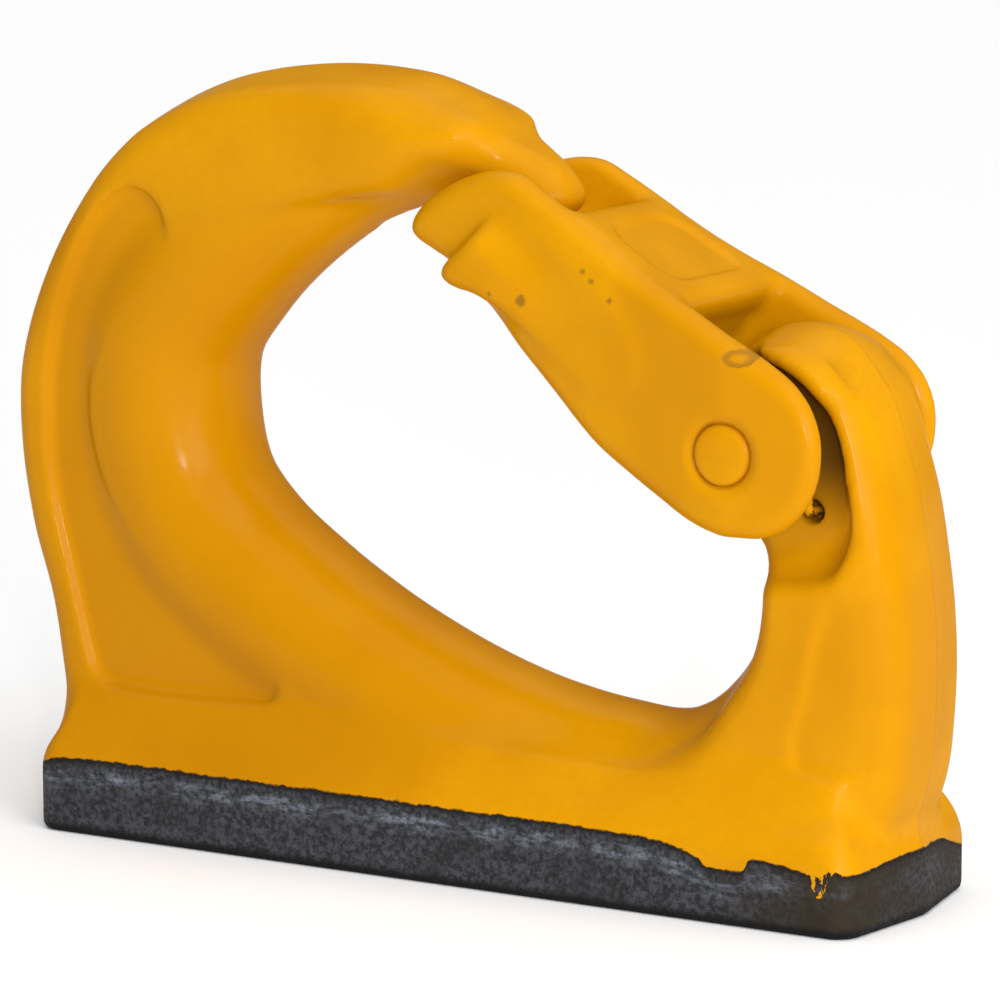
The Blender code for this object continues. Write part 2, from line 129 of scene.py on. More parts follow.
# The recesses on both sides of the hook: the pockets for the latch, and the shallow panels.
HINGE_POCKET = [
    (20.0, 84.0), (20.0, 44.0), (44.0, 43.8), (49.0, 43.9), (53.4, 44.3), (57.0, 45.4), (58.8, 47.6),
    (59.6, 50.6), (59.4, 54.0), (58.6, 57.8), (58.0, 61.0), (56.9, 64.4), (55.2, 67.2), (52.9, 69.5),
    (50.2, 71.2), (47.2, 72.3), (43.6, 73.1), (39.0, 74.4), (32.0, 80.0),
]
TIP_POCKET = [
    (26.0, 80.0), (26.0, 104.0), (20.0, 100.6), (14.0, 98.2), (9.6, 96.9), (5.0, 96.0), (0.0, 95.0),
    (-3.6, 93.4), (-6.0, 90.6), (-7.2, 86.0), (-7.6, 78.0),
]
BOWL_PANEL = [
    (-50.2, 90.2), (-53.9, 88.1), (-56.8, 84.7), (-60.6, 77.6), (-63.6, 68.0), (-64.6, 58.0), (-63.8, 47.0),
    (-60.8, 35.0), (-58.2, 25.0), (-56.6, 21.4), (-52.6, 19.9), (-30.0, 20.0), (-27.0, 20.6), (-25.9, 22.6),
    (-27.8, 26.0), (-34.0, 29.4), (-42.9, 35.4), (-50.4, 43.0), (-55.4, 52.4), (-56.4, 62.0), (-52.6, 70.8),
    (-46.8, 77.6), (-43.6, 81.6), (-43.8, 85.6), (-46.2, 89.2),
]
POST_PANEL = [
    (64.6, 42.8), (60.4, 43.0), (57.0, 41.4), (55.1, 37.0), (53.6, 29.4), (52.0, 23.0), (53.4, 19.8),
    (60.6, 19.4), (63.2, 21.0), (64.6, 30.0),
]
# The latch in side view: its cheeks, the thumb lugs on them, and the web between them.
CHEEK_OUTLINE = [
    (-5.0, 85.3), (-5.7, 86.9), (-4.0, 89.6), (0.0, 92.3), (4.1, 94.0), (8.1, 94.9), (11.7, 94.6),
    (15.0, 92.8), (19.2, 90.2), (23.5, 87.3), (27.7, 84.8), (31.9, 82.6), (36.1, 80.6), (40.3, 78.4),
    (44.4, 76.2), (47.6, 74.7), (51.1, 72.9), (54.9, 70.4), (57.5, 67.2), (58.8, 63.0), (58.4, 58.4),
    (56.7, 54.8), (53.8, 52.0), (50.2, 50.5), (46.9, 50.3), (43.8, 50.4), (39.3, 51.8), (34.7, 54.3),
    (30.0, 57.0), (25.2, 60.0), (22.1, 62.6), (18.9, 65.7), (15.5, 68.9), (12.1, 72.1), (9.0, 75.5),
    (5.3, 79.1), (1.5, 82.0), (-2.4, 83.9),
]
THUMB_LUG = [
    (11.2, 89.6), (8.6, 88.8), (6.2, 86.4), (3.7, 84.2), (1.9, 82.4), (1.6, 80.9), (3.2, 79.7), (6.8, 78.8),
    (10.8, 76.8), (15.2, 73.8), (19.4, 70.4), (24.6, 67.0), (32.0, 69.6), (30.0, 78.0), (21.0, 85.6),
    (14.6, 89.4),
]
LATCH_WEB = [
    (20.2, 89.5), (23.4, 87.9), (28.0, 85.1), (34.0, 81.5), (36.4, 79.4), (36.0, 77.4), (33.6, 75.0),
    (30.0, 70.0), (26.2, 65.6), (22.4, 66.6), (17.0, 72.6), (11.0, 78.6), (6.6, 83.6), (7.4, 86.6),
    (10.0, 87.0), (13.6, 86.5), (15.8, 87.2), (17.6, 88.8),
]

PAINT_BRIGHT, PAINT_DEEP = (0.605, 0.264, 0.0012), (0.53, 0.218, 0.0008)
# The seam's colour, also used for painted shade on the left of the bowl; and painted shade for the ring round
# the pin.
PAINT_SEAM_AND_SHADE, RING_SHADE = (0.44, 0.172, 0.0008), (0.36, 0.115, 0.0008)
PAINT_THICKNESS = 0.32
# Painted shade for the deep hinge pockets round the pin.
POCKET_SHADE = (0.07, 0.034, 0.006)
CHIP_COLOUR, CHIP_SPACING = (0.10, 0.055, 0.015), 7.0
# Bare steel: dark and pale mottle, a painted blue-grey highlight, brown scale and painted shade.
STEEL_DARK, STEEL_PALE, STEEL_HIGHLIGHT = (0.024, 0.025, 0.028), (0.075, 0.079, 0.088), (0.24, 0.27, 0.33)
STEEL_BROWN, STEEL_SHADE = (0.034, 0.026, 0.018), (0.012, 0.011, 0.011)
WORN_WIRE = (0.06, 0.035, 0.012)
ENAMEL_IOR = 1.14
# Chips on the front of the latch as (x, z, radius), and an oval scuff as (x, z, half length).
LATCH_CHIPS = [(14.4, 78.6, 0.75), (23.6, 82.9, 0.4), (25.0, 81.8, 0.4), (27.9, 79.5, 0.35), (9.6, 79.2, 0.3)]
WORN_OVAL = (47.3, 73.5, 2.0)
# How low the paint comes on the foot's sides, as (x, z): nearly level, with a dip before the hinge end.
PAINT_EDGE = [
    (-70.0, 9.4), (-64.0, 9.4), (-58.0, 10.5), (-30.0, 10.7), (0.0, 10.6), (28.0, 10.4), (35.0, 10.1),
    (39.5, 9.4), (42.0, 8.4), (44.0, 7.4), (48.3, 7.4), (49.0, 8.9), (50.0, 9.2), (54.5, 8.9), (58.0, 8.4),
    (61.0, 9.0), (63.2, 8.3), (64.6, 8.9), (66.5, 9.2), (70.0, 9.2),
]
EDGE_LOW_X, EDGE_HIGH_X, EDGE_TOP = -70.0, 70.0, 14.0
# Where a run of paint comes down over the bare steel, and how far.
RUN_X, RUN_LENGTH = 59.5, 3.4

CAMERA_PLACE = Vector((0.3252, -0.5455, 0.1530))
CAMERA_YAW, CAMERA_PITCH, CAMERA_ROLL = (math.radians(a) for a in (30.64, 9.29, -0.1))
CAMERA_SENSOR, CAMERA_LENS = 36.0, 172.2
WORLD_STRENGTH = 0.37
FLOOR_HALF = 12.0


# ---------------------------------------------------------------- signed distance fields

class Grid:
    """A box of sample points: x and z as (nx, 1, nz) arrays, y and depth |y| as (1, ny, 1) ones."""

    def __init__(self, low, high, step):
        self.low, self.step = np.array(low, float), step
        axes = [np.arange(a, b + step, step) for a, b in zip(low, high)]
        self.x, self.z = (a[:, None, :] for a in np.meshgrid(axes[0], axes[2], indexing="ij"))
        self.y = axes[1][None, :, None]
        self.depth = np.abs(self.y)


def smooth_outline(points, steps, closed=True):
    """Points on a smooth curve through the given ones; every column beyond x and z is carried along."""
    places = np.array(points, float)
    count = len(places)
    fine = []
    for i in range(count if closed else count - 1):
        picks = [(i + k) % count if closed else min(max(i + k, 0), count - 1) for k in (-1, 0, 1, 2)]
        before, start, end, after = places[picks]
        length = np.hypot(*(end - start)[:2])
        leave = (end - before) / max(np.hypot(*(end - before)[:2]), 1e-9) * length
        arrive = (after - start) / max(np.hypot(*(after - start)[:2]), 1e-9) * length
        for t in np.arange(steps) / steps:
            fine.append(
                (2 * t**3 - 3 * t**2 + 1) * start + (t**3 - 2 * t**2 + t) * leave
                + (3 * t**2 - 2 * t**3) * end + (t**3 - t**2) * arrive
            )
    return np.array(fine if closed else fine + [places[-1]])


def outline_distance(points, u, v, smooth=True):
    """Signed distance in a plane from each (u, v) to a closed outline, smoothed or straight-sided."""
    fine = smooth_outline(points, 6) if smooth else np.array(points, float)
    shape = np.broadcast(u, v).shape
    u, v = (np.broadcast_to(a, shape).ravel() for a in (u, v))
    nearest = np.full(u.shape, np.inf)
    inside = np.zeros(u.shape, bool)
    for (au, av), (bu, bv) in zip(fine, np.roll(fine, -1, axis=0)):
        eu, ev = bu - au, bv - av
        du, dv = u - au, v - av
        t = np.clip((du * eu + dv * ev) / (eu * eu + ev * ev + 1e-12), 0.0, 1.0)
        nearest = np.minimum(nearest, (du - t * eu) ** 2 + (dv - t * ev) ** 2)
        crossing = (av > v) != (bv > v)
        inside ^= crossing & (u < au + dv * eu / (ev if abs(ev) > 1e-12 else 1e-12))
    return (np.where(inside, -1.0, 1.0) * np.sqrt(nearest)).reshape(shape)


def line_distance(points, u, v):
    """Distance from each (u, v) to a smooth open line, and the line's third value at the nearest place."""
    fine = smooth_outline(points, 5, closed=False)
    nearest = np.full(u.shape, np.inf)
    value = np.zeros(u.shape)
    for (au, av, aw), (bu, bv, bw) in zip(fine, fine[1:]):
        eu, ev = bu - au, bv - av
        t = np.clip(((u - au) * eu + (v - av) * ev) / (eu * eu + ev * ev), 0.0, 1.0)
        squared = (u - au - t * eu) ** 2 + (v - av - t * ev) ** 2
        closer = squared < nearest
        nearest = np.where(closer, squared, nearest)
        value = np.where(closer, aw + t * (bw - aw), value)
    return np.sqrt(nearest), value


def smoothstep(value, low, high):
    """0 up to low, 1 from high, and a smooth rise between them."""
    t = np.clip((value - low) / (high - low), 0.0, 1.0)
    return t * t * (3.0 - 2.0 * t)


def ridge(off, width):
    """1 on a line, falling away as a smooth bell of this width with the distance off it."""
    return np.exp(-((off / width) ** 2))


def join(a, b, radius):
    """Union with a concave fillet of this radius."""
    corner = np.hypot(np.maximum(radius - a, 0.0), np.maximum(radius - b, 0.0))
    return np.maximum(radius, np.minimum(a, b)) - corner


def common(a, b, radius):
    """Intersection with a rounded edge of this radius."""
    return -join(-a, -b, radius)


def melt(a, b, width):
    """Union of surfaces that meet at a shallow angle, blended over this width."""
    overlap = np.maximum(width - np.abs(a - b), 0.0) / width
    return np.minimum(a, b) - overlap * overlap * width / 4.0


def cut(a, b, radius):
    """b taken away from a, with a rounded lip of this radius."""
    return common(a, -b, radius)


def field_mesh(name, field, grid):
    """The field's zero surface as a smooth-shaded mesh object in metres."""
    volume = openvdb.FloatGrid(FAR)
    volume.copyFromArray(np.ascontiguousarray(field, np.float32))
    points, quads = volume.convertToQuads(0.0)
    points = points * grid.step + grid.low
    ends = np.concatenate([quads[:, [0, 1]], quads[:, [1, 2]], quads[:, [2, 3]], quads[:, [3, 0]]])
    ends = np.unique(np.sort(ends, axis=1), axis=0)
    count = np.bincount(ends.ravel(), minlength=len(points))[:, None]
    for weight in SMOOTHING:
        total = np.zeros_like(points)
        for axis in range(3):
            total[:, axis] = (
                np.bincount(ends[:, 0], points[ends[:, 1], axis], len(points))
                + np.bincount(ends[:, 1], points[ends[:, 0], axis], len(points))
            )
        points = points + weight * (total / count - points)
    mesh = bpy.data.meshes.new(name)
    mesh.from_pydata((points * MM).tolist(), [], quads[:, ::-1].tolist())
    mesh.update()
    mesh.shade_smooth()
    return place(name, mesh)


def place(name, data):
    """A new object that holds this data, put in the scene."""
    obj = bpy.data.objects.new(name, data)
    bpy.context.scene.collection.objects.link(obj)
    return obj


# ---------------------------------------------------------------- forged pieces

def foot_field(grid):
    """The foot's block, with a shelf that slopes up from its edges to where the hook rises from it."""
    half_end = FOOT_HALF_WIDTH * math.tan(FOOT_END_DRAFT)
    plan = [
        (FOOT_HALF_LENGTH - half_end, -FOOT_HALF_WIDTH), (FOOT_HALF_LENGTH, 0.0),
        (FOOT_HALF_LENGTH - half_end, FOOT_HALF_WIDTH), (-FOOT_HALF_LENGTH + half_end, FOOT_HALF_WIDTH),
        (-FOOT_HALF_LENGTH, 0.0), (-FOOT_HALF_LENGTH + half_end, -FOOT_HALF_WIDTH),
    ]
    shrink_x, shrink_y = (1 - FOOT_CORNER_RADIUS / half for half in (FOOT_HALF_LENGTH, FOOT_HALF_WIDTH))
    shrunk = [(x * shrink_x, y * shrink_y) for x, y in plan]
    row = grid.x[:, :, :1] - FOOT_MIDDLE
    side = outline_distance(shrunk, row, grid.y, smooth=False) - FOOT_CORNER_RADIUS
    edge_height = FOOT_EDGE_HEIGHT - FOOT_EDGE_DROP * smoothstep(grid.x, 58.0, 65.0)
    rise, run = SHELF_HEIGHT - FOOT_EDGE_HEIGHT, SHELF_INSET
    slope = (side * rise + (grid.z - edge_height) * run) / math.hypot(rise, run)
    top = np.maximum(slope, grid.z - SHELF_HEIGHT)
    return common(side + 0.0 * grid.z, top, SHELF_RADIUS)


def hook_relief(x, z):
    """How far the hook's faces are sunk by the valley beside the rim, with its bead, and by the panels."""
    valley_off, valley_depth = line_distance(VALLEY_LINE, x, z)
    middle_x, middle_z = BOWL_MIDDLE
    bead_line = [
        (middle_x + BEAD_SPREAD * (u - middle_x), middle_z + BEAD_SPREAD * (v - middle_z), depth)
        for u, v, depth in VALLEY_LINE
    ]
    bead_off, bead_depth = line_distance(bead_line, x, z)
    valley = valley_depth * ridge(valley_off, VALLEY_WIDTH)
    bead = BEAD_HEIGHT * bead_depth * ridge(bead_off, BEAD_WIDTH)
    bowl_panel = BOWL_PANEL_DEPTH * (1.0 - smoothstep(outline_distance(BOWL_PANEL, x, z), -1.0, 0.25))
    post_panel = POST_PANEL_DEPTH * (1.0 - smoothstep(outline_distance(POST_PANEL, x, z), -1.0, 0.4))
    return valley - bead + bowl_panel + post_panel


def hook_field(grid):
    """The hook with its foot: drafted flanks, sunk and crowned faces, the rim, the pockets and the holes."""
    x, z, depth = grid.x, grid.z, grid.depth
    outline = outline_distance(HOOK_OUTLINE, x, z)
    post = smoothstep(x, 44.0, 56.0) * (1.0 - smoothstep(z, 66.0, 76.0))
    upper = smoothstep(z, 80.0, 88.0)
    beak = smoothstep(x, -6.0, 8.0) * upper
    draft = DRAFT - POST_DRAFT_LOSS * post - BEAK_DRAFT_LOSS * beak
    flank = outline + draft * (np.hypot(depth, PARTING_RADIUS) - PARTING_OFFSET)
    flank = flank / np.hypot(1.0, draft)

    crown = FACE_CROWN * smoothstep(-outline, 0.0, 14.0)
    taper = BEAK_TAPER * smoothstep(x + 0.2 * (95.0 - z), 0.0, 14.0) * upper
    face = depth - (FACE_HALF + crown - hook_relief(x, z) - taper)
    body = common(flank, face, FACE_RADIUS + BEAK_FACE_RADIUS_GAIN * smoothstep(x, -26.0, 2.0) * upper)
    bevel = BEVEL_OUT * (outline + BEVEL_INSET) + BEVEL_ACROSS * (depth - BEVEL_DEPTH)
    body = common(body, bevel - BEVEL_KEPT_OFF * (1.0 - post), BEVEL_RADIUS)

    rim_off, rim_radius = line_distance(RIM_LINE, x, z)
    body = melt(body, np.hypot(rim_off, depth) - rim_radius, RIM_BLEND)

    tip = common(outline_distance(TIP_POCKET, x, z), TONGUE_HALF - depth, TIP_POCKET_RADIUS)
    body = cut(body, tip, TIP_POCKET_LIP)
    pocket_radius = 2.0 + 3.0 * (1.0 - smoothstep(z, 47.0, 56.0))
    pocket = common(outline_distance(HINGE_POCKET, x, z), HINGE_WEB_HALF - depth, pocket_radius)
    body = cut(body, pocket, HINGE_POCKET_LIP)

    body = join(body, foot_field(grid), FOOT_FILLET - FOOT_FILLET_LOSS * smoothstep(x, 55.0, 64.0))
    hole = np.hypot(x - LEG_HOLE[0], z - LEG_HOLE[1]) - LEG_HOLE_RADIUS
    body = cut(body, common(hole, HINGE_WEB_HALF - LEG_HOLE_DEPTH - depth, 0.4), 0.35)
    bore = np.hypot(x - PIN_X, z - PIN_Z) - BORE_RADIUS
    body = cut(body, bore, 0.4)
    return common(body, -z, UNDERSIDE_RADIUS)


def latch_field(grid):
    """The latch: two cheeks with thumb lugs, a web with a shallow tray, and a ring sunk round the pin."""
    x, z, depth = grid.x, grid.z, grid.depth
    along = (PIN_X - x) / 40.0
    inner = CHEEK_INNER - CHEEK_INNER_LOSS * along
    outer = CHEEK_OUTER - CHEEK_OUTER_LOSS * np.maximum(along, 0.0)
    cheek = common(outline_distance(CHEEK_OUTLINE, x, z) + 0.0 * depth, depth - outer, CHEEK_RADIUS)
    cheek = common(cheek, inner - depth, 1.4 + 0.8 * smoothstep(x, 15.0, 40.0))

    fade = smoothstep(-0.62 * (x - 12.6) - 0.78 * (z - 87.6), -1.0, 5.5)
    lug_height = LUG_HEIGHT * fade * (1.0 - smoothstep(x + 0.35 * (84.0 - z), 3.0, 28.0))
    lug = common(outline_distance(THUMB_LUG, x, z) + 0.0 * depth, depth - outer - lug_height, LUG_RADIUS)
    latch = melt(cheek, common(lug, inner + 1.5 - depth, 0.5), LUG_BLEND)

    along_off = np.abs((x - 28.2) * 0.86 - (z - 84.4) * 0.51) - TRAY_HALF_LENGTH
    tray_edge = common(along_off + 0.0 * depth, depth - inner + 2.0, TRAY_RADIUS)
    tray = TRAY_DEPTH * (1.0 - smoothstep(tray_edge, -0.9, 0.3)) * smoothstep(z + 0.6 * x, 96.0, 99.0)
    web = common(outline_distance(LATCH_WEB, x, z) + tray - 0.2, depth - inner - 1.5, WEB_RADIUS)
    latch = melt(latch, web, WEB_BLEND)

    radius = np.hypot(x - PIN_X, z - PIN_Z)
    ring = np.hypot(radius - (PIN_RADIUS + 0.1), depth - outer - 0.25) - PIN_RING_RADIUS
    latch = cut(latch, ring, PIN_RING_LIP)
    return np.maximum(latch, PIN_RADIUS - radius)


def pin_mesh(name):
    """The hinge pin: a lathe profile with slightly domed, round-edged ends."""
    profile = PIN_PROFILE + [(radius, -y) for radius, y in reversed(PIN_PROFILE)]
    shape = bmesh.new()
    points = [shape.verts.new((radius, y, 0.0)) for radius, y in profile]
    edges = [shape.edges.new(pair) for pair in zip(points, points[1:])]
    bmesh.ops.spin(
        shape, geom=points + edges, axis=(0.0, 1.0, 0.0), cent=(0.0, 0.0, 0.0), angle=2.0 * math.pi,
        steps=PIN_STEPS, use_merge=True,
    )
    bmesh.ops.remove_doubles(shape, verts=shape.verts, dist=1e-4)
    bmesh.ops.recalc_face_normals(shape, faces=shape.faces)
    shape.transform(Matrix.Translation((PIN_X * MM, 0.0, PIN_Z * MM)) @ Matrix.Scale(MM, 4))
    mesh = bpy.data.meshes.new(name)
    shape.to_mesh(mesh)
    shape.free()
    mesh.shade_smooth()
    return place(name, mesh)


def tangent_angle(spot, turn):
    """The angle round the pin at which a straight wire from this (x, z) spot meets the coil's mean circle."""
    away_x, away_z = spot[0] - PIN_X, spot[1] - PIN_Z
    return math.atan2(away_z, away_x) + turn * math.acos(COIL_RADIUS / math.hypot(away_x, away_z))


def spring_line(side):
    """Centre line of a torsion spring: out of the post's hole, round the pin and along under the web."""
    first = tangent_angle(LEG_HOLE, 1)
    last = tangent_angle(LATCH_LEG_END, -1) + 2.0 * math.pi * COIL_TURNS
    hole_x, hole_z = LEG_HOLE
    line = [
        (hole_x, HINGE_WEB_HALF - 2.6, hole_z), (hole_x, COIL_INNER_Y - 1.0, hole_z),
        (hole_x, COIL_INNER_Y - 0.45, hole_z + 0.12), (hole_x, COIL_INNER_Y - 0.1, hole_z + 0.45),
        (hole_x, COIL_INNER_Y, hole_z + 0.9),
    ]
    for angle in np.linspace(first, last, COIL_POINTS):
        y = COIL_INNER_Y + COIL_PITCH * (angle - first) / (2.0 * math.pi)
        line.append((PIN_X + COIL_RADIUS * math.cos(angle), y, PIN_Z + COIL_RADIUS * math.sin(angle)))
    leave = Vector(line[-1])
    end = Vector((LATCH_LEG_END[0], LATCH_LEG_Y, LATCH_LEG_END[1]))
    for share in (0.1, 0.3, 0.5, 0.7, 0.9, 1.0):
        across = smoothstep(share, 0.1, 1.0)
        line.append((
            leave.x + share * (end.x - leave.x), leave.y + across * (end.y - leave.y),
            leave.z + share * (end.z - leave.z),
        ))
    return [Vector((x, side * y, z)) for x, y, z in line]


def wire_mesh(name, line):
    """A round wire along the line, with domed ends."""
    directions = [(b - a).normalized() for a, b in zip(line, line[1:])]
    bends = [(a + b).normalized() for a, b in zip(directions, directions[1:])]
    tangents = [directions[0]] + bends + [directions[-1]]
    start, end = tangents[0], tangents[-1]
    rings = [(line[0] - start * WIRE_RADIUS * reach, start, width) for reach, width in WIRE_END]
    rings += [(spot, tangent, 1.0) for spot, tangent in zip(line, tangents)]
    rings += [(line[-1] + end * WIRE_RADIUS * reach, end, width) for reach, width in reversed(WIRE_END)]
    normal = tangents[0].orthogonal().normalized()
    points = []
    for spot, tangent, width in rings:
        normal = (normal - tangent * normal.dot(tangent)).normalized()
        other = tangent.cross(normal)
        for k in range(WIRE_SIDES):
            angle = 2.0 * math.pi * k / WIRE_SIDES
            outward = normal * math.cos(angle) + other * math.sin(angle)
            points.append((spot + outward * WIRE_RADIUS * width) * MM)
    faces = [tuple(reversed(range(WIRE_SIDES))), tuple(range(len(points) - WIRE_SIDES, len(points)))]
    for ring in range(len(rings) - 1):
        for k in range(WIRE_SIDES):
            a, b = ring * WIRE_SIDES + k, ring * WIRE_SIDES + (k + 1) % WIRE_SIDES
            faces.append((a, b, b + WIRE_SIDES, a + WIRE_SIDES))
    mesh = bpy.data.meshes.new(name)
    mesh.from_pydata(points, [], faces)
    mesh.shade_smooth()
    return place(name, mesh)


# ---------------------------------------------------------------- materials

class Nodes:
    """Short calls for one material's nodes. Places are in millimetres, in the object's own coordinates."""

    def __init__(self, name):
        self.material = bpy.data.materials.new(name)
        self.material.use_nodes = True
        self.tree = self.material.node_tree
        self.shader = self.tree.nodes["Principled BSDF"]
        coordinates = self.node("ShaderNodeTexCoord").outputs["Object"]
        scaled = self.node("ShaderNodeVectorMath", {0: coordinates, "Scale": 1.0 / MM}, operation="SCALE")
        self.place = scaled.outputs[0]
        self.x, self.y, self.z = self.node("ShaderNodeSeparateXYZ", {0: self.place}).outputs

    def node(self, kind, inputs=None, **settings):
        """A new node with these settings, its inputs linked to sockets or set to values."""
        node = self.tree.nodes.new(kind)
        for key, value in settings.items():
            setattr(node, key, value)
        for key, value in (inputs or {}).items():
            if isinstance(value, bpy.types.NodeSocket):
                self.tree.links.new(value, node.inputs[key])
            else:
                node.inputs[key].default_value = value
        return node

    def noise(self, size, detail=2.0, roughness=0.5, stretch=None):
        """Noise with features this many millimetres across, longer on an axis whose stretch is under 1."""
        place = self.place
        if stretch:
            place = self.node("ShaderNodeVectorMath", {0: place, 1: stretch}, operation="MULTIPLY").outputs[0]
        inputs = {"Vector": place, "Scale": 1.0 / size, "Detail": detail, "Roughness": roughness}
        return self.node("ShaderNodeTexNoise", inputs).outputs[0]

    def math(self, operation, a, b=0.0, c=0.0):
        return self.node("ShaderNodeMath", {0: a, 1: b, 2: c}, operation=operation).outputs[0]

    def product(self, value, *others):
        """All the values multiplied."""
        for other in others:
            value = self.math("MULTIPLY", value, other)
        return value

    def plus(self, value, share, of):
        """The value plus this share of another."""
        return self.math("MULTIPLY_ADD", of, share, value)

    def distance(self, a, b=0.0):
        """How far one value is from the other."""
        return self.math("ABSOLUTE", self.math("SUBTRACT", a, b))

    def off_spot(self, x, z, half_x=1.0, half_z=1.0):
        """Distance in side view from a spot, counted in these half sizes."""
        off_x = self.math("DIVIDE", self.math("SUBTRACT", self.x, x), half_x)
        off_z = self.math("DIVIDE", self.math("SUBTRACT", self.z, z), half_z)
        return self.math("SQRT", self.math("MULTIPLY_ADD", off_x, off_x, self.math("MULTIPLY", off_z, off_z)))

    def span(self, value, low, high, start=0.0, end=1.0, smooth=True):
        """The value mapped from low..high to start..end and clamped."""
        inputs = {0: value, 1: low, 2: high, 3: start, 4: end}
        kind = "SMOOTHSTEP" if smooth else "LINEAR"
        return self.node("ShaderNodeMapRange", inputs, interpolation_type=kind).outputs[0]

    def mix(self, share, a, b):
        """From colour a to colour b by this share."""
        a, b = ((*c, 1.0) if isinstance(c, tuple) else c for c in (a, b))
        return self.node("ShaderNodeMix", {0: share, 6: a, 7: b}, data_type="RGBA").outputs[2]

    def blend(self, share, a, b):
        """From value a to value b by this share."""
        return self.node("ShaderNodeMix", {0: share, 2: a, 3: b}).outputs[0]

    def finish(self, colour, roughness, height, metallic=None):
        """Sets the shader. Height is in millimetres, and the shine fades where the surface turns away."""
        self.tree.links.new(colour, self.shader.inputs["Base Color"])
        self.tree.links.new(roughness, self.shader.inputs["Roughness"])
        if metallic is not None:
            self.tree.links.new(metallic, self.shader.inputs["Metallic"])
        bump = self.node("ShaderNodeBump", {"Strength": 1.0, "Distance": MM, "Height": height})
        self.tree.links.new(bump.outputs[0], self.shader.inputs["Normal"])
        facing = self.node("ShaderNodeLayerWeight", {"Blend": 0.5}).outputs["Facing"]
        self.tree.links.new(self.span(facing, 0.35, 0.8, 0.5, 0.02), self.shader.inputs["Specular IOR Level"])
        self.shader.inputs["IOR"].default_value = ENAMEL_IOR
        return self.material


def enamel(nodes, chip_share):
    """Sprayed yellow enamel as (colour, roughness, height), with clouds, orange peel and small chips."""
    colour = nodes.mix(nodes.span(nodes.noise(26.0, 3.0), 0.36, 0.64), PAINT_DEEP, PAINT_BRIGHT)
    fine = nodes.noise(1.4, 3.0, 0.6)
    colour = nodes.mix(nodes.span(fine, 0.35, 0.75, 0.0, 0.3), colour, PAINT_DEEP)
    height = nodes.plus(nodes.product(nodes.noise(2.6, 1.0), 0.035), 0.16, nodes.noise(11.0, 2.0))
    roughness = nodes.span(nodes.noise(9.0, 4.0, 0.6), 0.3, 0.7, 0.15, 0.25)

    # Chips are the middles of a few cells, picked by their random colour and made ragged by the warp.
    warp = nodes.node("ShaderNodeTexNoise", {"Vector": nodes.place, "Scale": 0.9}).outputs[1]
    warped = nodes.node("ShaderNodeVectorMath", {0: nodes.place, 1: warp}, operation="ADD").outputs[0]
    cells = nodes.node("ShaderNodeTexVoronoi", {"Vector": warped, "Scale": 1.0 / CHIP_SPACING})
    picked = nodes.node("ShaderNodeSeparateColor", {0: cells.outputs["Color"]})
    reach = nodes.span(picked.outputs[0], 1.0 - chip_share, 1.0, 0.0, 0.085)
    chip = nodes.span(nodes.math("SUBTRACT", reach, cells.outputs["Distance"]), 0.0, 0.03)
    colour = nodes.mix(chip, colour, CHIP_COLOUR)
    return colour, nodes.blend(chip, roughness, 0.6), nodes.plus(height, -0.08, chip)


def paint_edge(nodes):
    """The height at which the paint ends on the foot: a rough edge along a curve, lower at the far corner."""
    along = nodes.span(nodes.x, EDGE_LOW_X, EDGE_HIGH_X, smooth=False)
    curve = nodes.node("ShaderNodeFloatCurve", {1: along})
    line = curve.mapping.curves[0]
    for i, (x, z) in enumerate(PAINT_EDGE):
        spot = ((x - EDGE_LOW_X) / (EDGE_HIGH_X - EDGE_LOW_X), z / EDGE_TOP)
        if i < 2:
            line.points[i].location = spot
        else:
            line.points.new(*spot)
    curve.mapping.update()
    edge = nodes.product(curve.outputs[0], EDGE_TOP)
    edge = nodes.plus(edge, 1.1, nodes.math("SUBTRACT", nodes.noise(1.6, 5.0, 0.7), 0.5))
    far_corner = nodes.product(nodes.span(nodes.x, 58.0, 62.0), nodes.span(nodes.y, 4.0, 16.0))
    return nodes.plus(edge, -2.2, far_corner)


def bare_steel(nodes, above):
    """Forged steel with mill scale, a painted highlight and painted shade, as (colour, mottle); above is the
    height over the paint's edge.
    """
    mottle = nodes.noise(0.7, 6.0, 0.62)
    patch = nodes.noise(9.0, 4.0, 0.6)
    steel = nodes.mix(nodes.span(mottle, 0.36, 0.66), STEEL_DARK, STEEL_PALE)
    streaks = nodes.noise(1.3, 5.0, 0.7, (0.3, 0.3, 1.0))
    # Painted highlight: a pale blue-grey stripe a little under the paint's edge, where the rounded shoulder
    # would catch the light.
    highlight_band = nodes.product(
        nodes.span(above, -4.6, -2.4), nodes.span(above, -1.0, -2.0),
        nodes.span(streaks, 0.42, 0.66, 0.05, 1.0), nodes.span(mottle, 0.3, 0.6, 0.3, 1.0),
        nodes.span(nodes.x, 63.8, 61.0, 0.1, 0.8),
    )
    steel = nodes.mix(highlight_band, steel, STEEL_HIGHLIGHT)
    steel = nodes.mix(nodes.span(patch, 0.45, 0.7, 0.0, 0.6), steel, STEEL_DARK)
    brown = nodes.product(nodes.span(nodes.x, 40.0, 62.0, 0.12, 1.0), nodes.span(patch, 0.3, 0.6, 0.35, 1.0))
    steel = nodes.mix(brown, steel, STEEL_BROWN)
    # Painted shade just under the paint's edge, and along the bottom edge in the line below.
    steel = nodes.mix(nodes.product(nodes.span(above, -0.9, -0.1), 0.85), steel, STEEL_SHADE)
    return nodes.mix(nodes.span(nodes.z, 1.9, 0.6), steel, STEEL_SHADE), mottle


